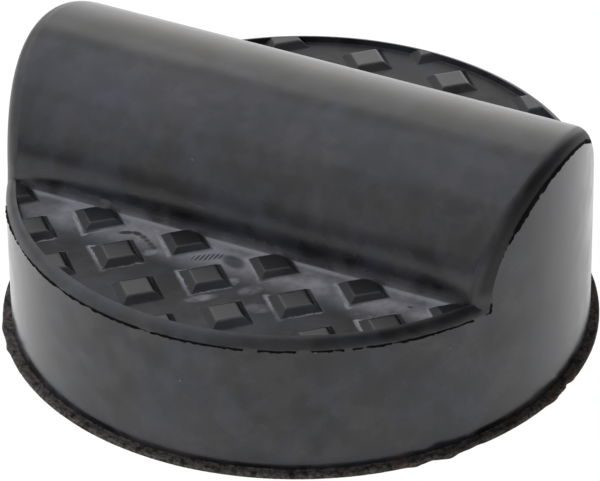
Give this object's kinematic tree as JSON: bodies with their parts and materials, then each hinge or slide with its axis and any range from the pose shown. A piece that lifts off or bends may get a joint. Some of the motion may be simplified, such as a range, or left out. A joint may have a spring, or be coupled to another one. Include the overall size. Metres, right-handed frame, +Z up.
{
  "type": "rubber lift pad",
  "caption": "Round moulded rubber pad with a half-round bar across its top and a studded well on each side, a cushion and grip for lifting or bearing a load.",
  "frame": {"origin": "centre of the flat underside", "axes": "+X along the raised bar, +Y across it, +Z up from the underside to the crown of the bar"},
  "size_m": [0.124, 0.124, 0.0557],
  "materials": {
    "black_rubber": "moulded, half matt"
  },
  "bodies": {
    "root": {"rubber_pad": "black_rubber"}
  },
  "joints": []
}
